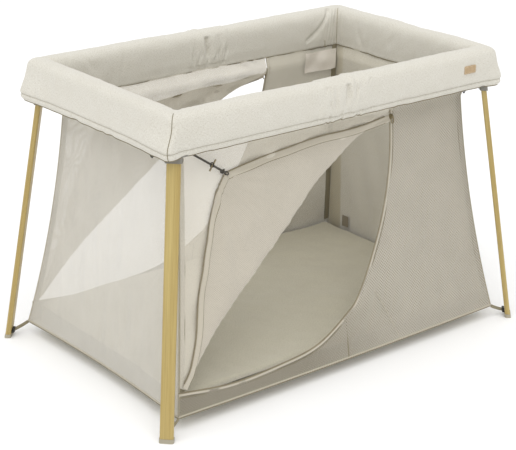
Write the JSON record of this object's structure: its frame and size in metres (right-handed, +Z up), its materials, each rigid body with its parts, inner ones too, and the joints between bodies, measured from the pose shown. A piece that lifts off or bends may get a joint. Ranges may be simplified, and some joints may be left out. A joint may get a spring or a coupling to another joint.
{
  "type": "playpen",
  "caption": "Folding playpen: padded fabric rail on four splayed wooden legs, a mesh tub with zip doors tied back, and a mattress.",
  "frame": {"origin": "on the floor under the centre of the pen", "axes": "+X along the long side, to the right when facing the front door; +Y to the back; +Z up"},
  "size_m": [1.059, 0.671, 0.679],
  "materials": {
    "plastic_grey": "satin",
    "plastic_light": "matte",
    "plastic_black": "matte",
    "wood": "satin",
    "steel": "satin",
    "steel_pin": "satin",
    "cover_fabric": "woven melange",
    "mesh_fabric": "fine mesh",
    "base_fabric": "woven",
    "mattress_fabric": "woven",
    "webbing": "webbing",
    "zip_tape": "woven tape",
    "zip_metal": "dark bronze",
    "cord": "braided",
    "toggle_wood": "satin",
    "label": "matte",
    "care_tag": "satin weave"
  },
  "bodies": {
    "right_end": {"right_end_tube": "steel", "front_right_corner_bracket": "plastic_grey", "back_right_corner_bracket": "plastic_grey", "front_right_leg": "wood", "back_right_leg": "wood", "right_leg_collars": "plastic_grey", "right_foot_caps": "plastic_light", "right_leg_screws": "steel_pin", "right_corner_hinge_pins": "steel_pin", "right_end_pad": "cover_fabric", "right_corner_straps": "webbing", "right_strap_clips": "plastic_black", "right_end_mesh": "mesh_fabric", "front_mesh_wall": "mesh_fabric", "back_mesh_wall": "mesh_fabric", "front_door_flap": "mesh_fabric", "back_door_flap": "mesh_fabric", "front_folded_flap": "mesh_fabric", "back_folded_flap": "mesh_fabric", "front_zip_tape": "zip_tape", "back_zip_tape": "zip_tape", "floor_sheet": "base_fabric", "mattress": "mattress_fabric", "front_tie_cord": "cord", "back_tie_cord": "cord", "front_tie_toggle": "toggle_wood", "back_tie_toggle": "toggle_wood", "care_tag": "care_tag"},
    "left_end": {"left_end_tube": "steel", "front_left_corner_bracket": "plastic_grey", "back_left_corner_bracket": "plastic_grey", "front_left_leg": "wood", "back_left_leg": "wood", "left_leg_collars": "plastic_grey", "left_foot_caps": "plastic_light", "left_leg_screws": "steel_pin", "left_corner_hinge_pins": "steel_pin", "left_end_pad": "cover_fabric", "left_corner_straps": "webbing", "left_strap_clips": "plastic_black", "left_end_mesh": "mesh_fabric"},
    "front_right_half": {"front_right_rail_tube": "steel", "front_right_rail_pad": "cover_fabric", "front_lock_housing": "plastic_black", "rail_label": "label"},
    "front_left_half": {"front_left_rail_tube": "steel", "front_left_rail_pad": "cover_fabric", "front_centre_hinge_pin": "steel_pin"},
    "back_right_half": {"back_right_rail_tube": "steel", "back_right_rail_pad": "cover_fabric", "back_lock_housing": "plastic_black", "back_centre_hinge_pin": "steel_pin"},
    "back_left_half": {"back_left_rail_tube": "steel", "back_left_rail_pad": "cover_fabric"},
    "front_button": {"front_release_button": "plastic_grey"},
    "back_button": {"back_release_button": "plastic_grey"},
    "front_slider": {"front_zip_slider": "zip_metal"},
    "back_slider": {"back_zip_slider": "zip_metal"},
    "front_pull": {"front_zip_pull": "zip_metal"},
    "back_pull": {"back_zip_pull": "zip_metal"}
  },
  "joints": [
    {"name": "fold", "type": "hinge", "parent": "right_end", "child": "front_right_half", "pos_m": [0.4, -0.249, 0.593], "axis": [0, -0.9903, 0.1392], "range_deg": [0, 80], "deforming": ["front_mesh_wall", "back_mesh_wall", "front_door_flap", "back_door_flap", "front_folded_flap", "back_folded_flap", "front_zip_tape", "back_zip_tape", "floor_sheet", "mattress", "front_tie_cord", "back_tie_cord", "front_tie_toggle", "back_tie_toggle", "care_tag"]},
    {"name": "front_centre_hinge", "type": "hinge", "parent": "front_right_half", "child": "front_left_half", "pos_m": [0, -0.249, 0.672], "axis": [0, -0.9903, 0.1392], "range_deg": [-160, 0]},
    {"name": "front_left_corner_hinge", "type": "hinge", "parent": "front_left_half", "child": "left_end", "pos_m": [-0.4, -0.249, 0.593], "axis": [0, -0.9903, 0.1392], "range_deg": [0, 80]},
    {"name": "back_right_corner_hinge", "type": "hinge", "parent": "right_end", "child": "back_right_half", "pos_m": [0.4, 0.249, 0.593], "axis": [0, -0.9903, -0.1392], "range_deg": [0, 80]},
    {"name": "back_left_corner_hinge", "type": "hinge", "parent": "left_end", "child": "back_left_half", "pos_m": [-0.4, 0.249, 0.593], "axis": [0, -0.9903, -0.1392], "range_deg": [-80, 0]},
    {"name": "front_button_press", "type": "slide", "parent": "front_right_half", "child": "front_button", "axis": [0, 0, 1], "range_m": [0, 0.003], "stiffness_N_per_m": 300, "springref_m": -0.002},
    {"name": "front_zip_slide", "type": "slide", "parent": "right_end", "child": "front_slider", "axis": [-0.11, -0.1577, -0.9813], "range_m": [0, 0.07]},
    {"name": "front_pull_swing", "type": "hinge", "parent": "front_slider", "child": "front_pull", "pos_m": [0.18001, -0.22518, 0.54815], "axis": [-0.9939, 0.0174, 0.1086], "range_deg": [0, 160]},
    {"name": "back_button_press", "type": "slide", "parent": "back_right_half", "child": "back_button", "axis": [0, 0, 1], "range_m": [0, 0.003], "stiffness_N_per_m": 300, "springref_m": -0.002},
    {"name": "back_zip_slide", "type": "slide", "parent": "right_end", "child": "back_slider", "axis": [-0.11, 0.1577, -0.9813], "range_m": [0, 0.07]},
    {"name": "back_pull_swing", "type": "hinge", "parent": "back_slider", "child": "back_pull", "pos_m": [0.18001, 0.22518, 0.54815], "axis": [0.9939, 0.0174, -0.1086], "range_deg": [0, 160]}
  ],
  "couplings": [
    {"joint": "front_centre_hinge", "follows": "fold", "ratio": -2},
    {"joint": "front_left_corner_hinge", "follows": "fold", "ratio": 1},
    {"joint": "back_right_corner_hinge", "follows": "fold", "ratio": 1},
    {"joint": "back_left_corner_hinge", "follows": "fold", "ratio": -1}
  ]
}
